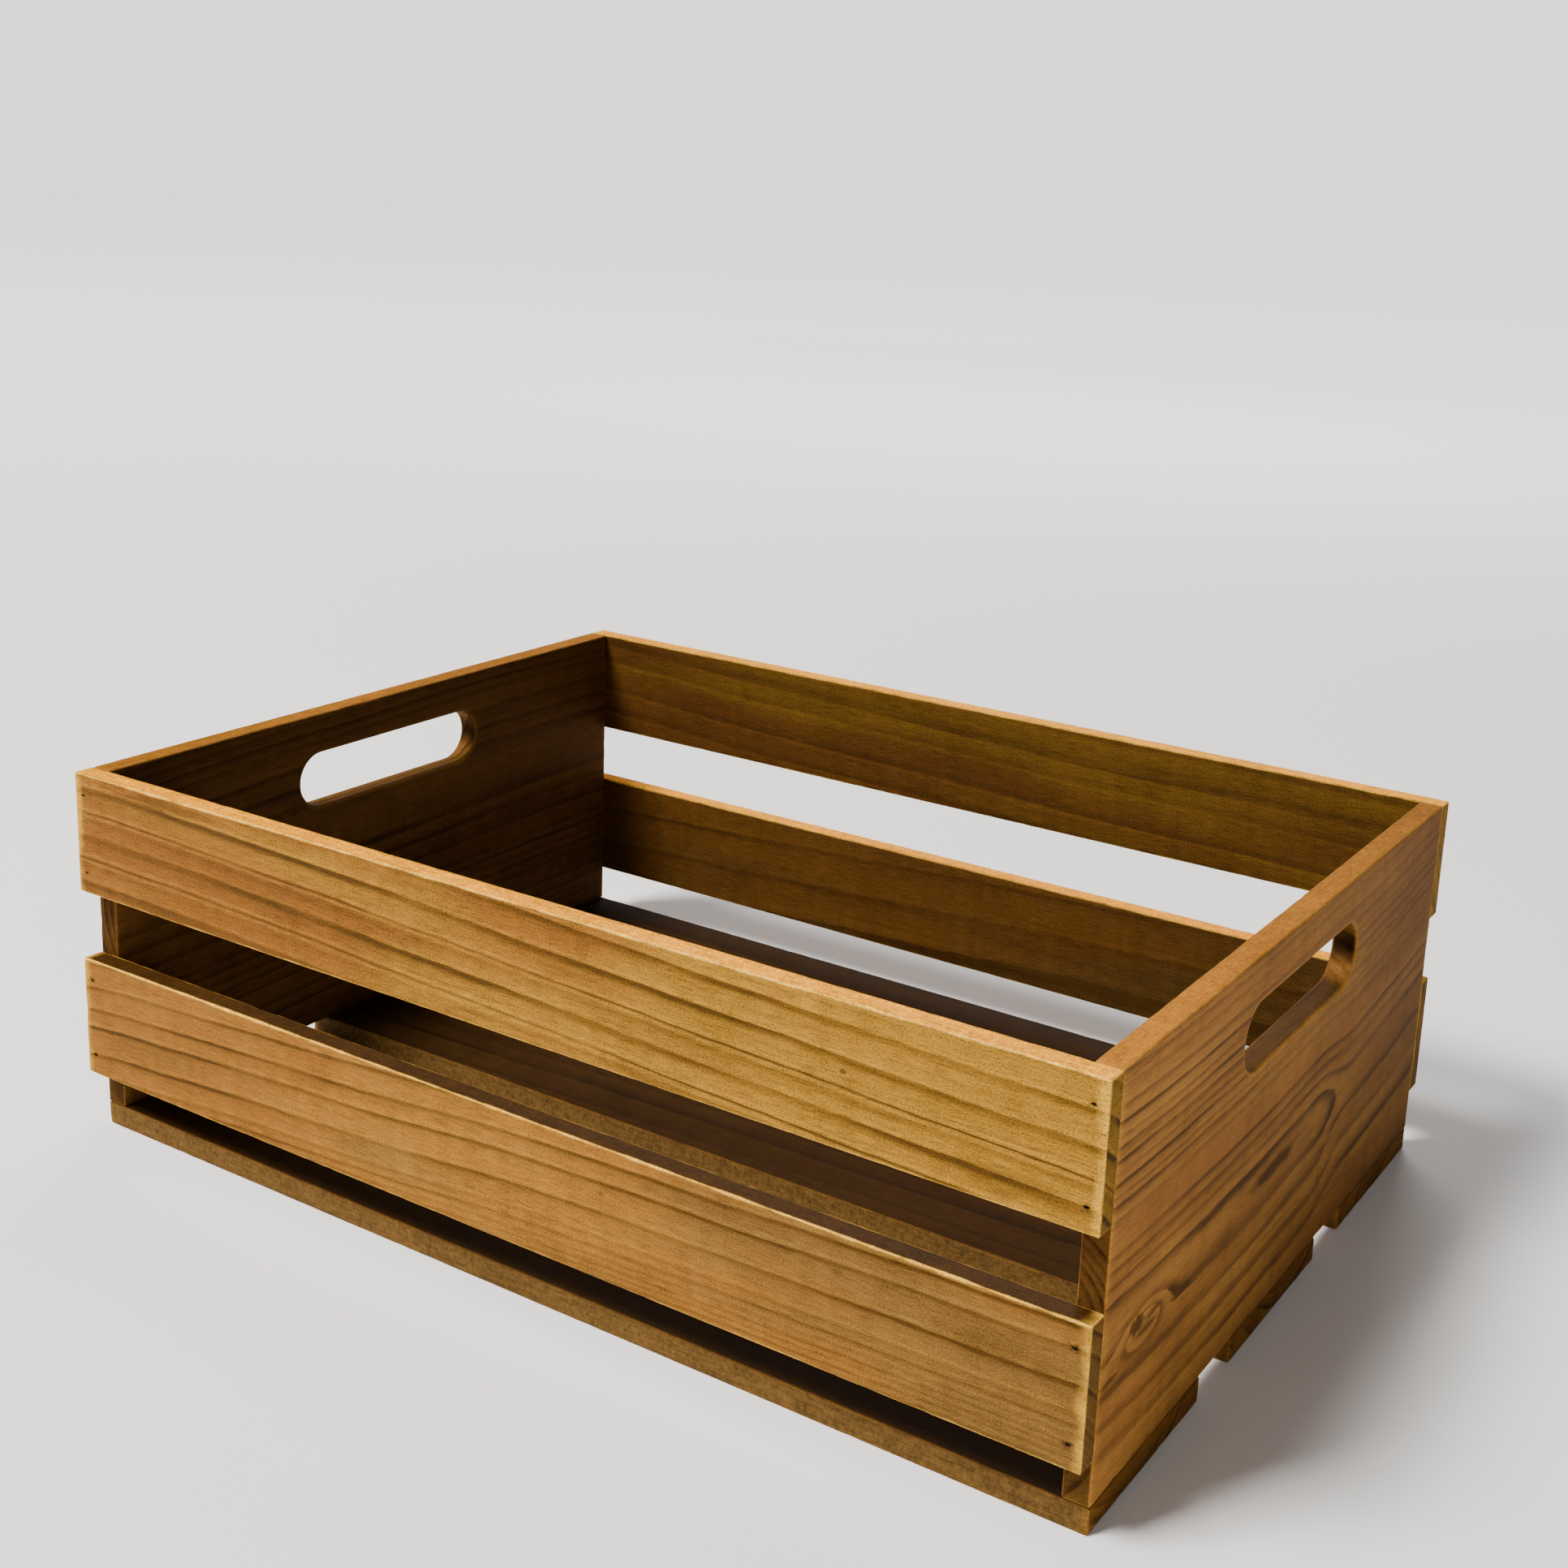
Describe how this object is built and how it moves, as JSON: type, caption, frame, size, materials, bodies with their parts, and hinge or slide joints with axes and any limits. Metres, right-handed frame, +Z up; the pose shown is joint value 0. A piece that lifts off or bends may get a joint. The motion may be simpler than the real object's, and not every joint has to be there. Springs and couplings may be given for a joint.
{
  "type": "slatted wooden crate",
  "caption": "Low open-topped wooden crate with slatted long sides, slatted floor and solid end boards, each with a round-ended hand slot.",
  "frame": {"origin": "centre of the crate's underside", "axes": "+X along the crate's length towards the right end board, -Y towards the front long side, +Z up"},
  "size_m": [0.46, 0.334, 0.158],
  "materials": {
    "side_slat_wood": "golden brown stain, satin",
    "end_board_wood": "brown stain, satin",
    "floor_board_wood": "brown stain, satin",
    "brad_steel": "dull"
  },
  "bodies": {
    "root": {"left_end_panel": "end_board_wood", "right_end_panel": "end_board_wood", "front_top_slat": "side_slat_wood", "front_lower_slat": "side_slat_wood", "back_top_slat": "side_slat_wood", "back_lower_slat": "side_slat_wood", "bottom_front_slat": "floor_board_wood", "bottom_middle_slat": "floor_board_wood", "bottom_back_slat": "floor_board_wood", "brads_front_top_left": "brad_steel", "brads_front_top_right": "brad_steel", "brads_front_lower_left": "brad_steel", "brads_front_lower_right": "brad_steel", "brads_back_top_left": "brad_steel", "brads_back_top_right": "brad_steel", "brads_back_lower_left": "brad_steel", "brads_back_lower_right": "brad_steel", "brads_bottom_front_left": "brad_steel", "brads_bottom_front_right": "brad_steel", "brads_bottom_middle_left": "brad_steel", "brads_bottom_middle_right": "brad_steel", "brads_bottom_back_left": "brad_steel", "brads_bottom_back_right": "brad_steel"}
  },
  "joints": []
}
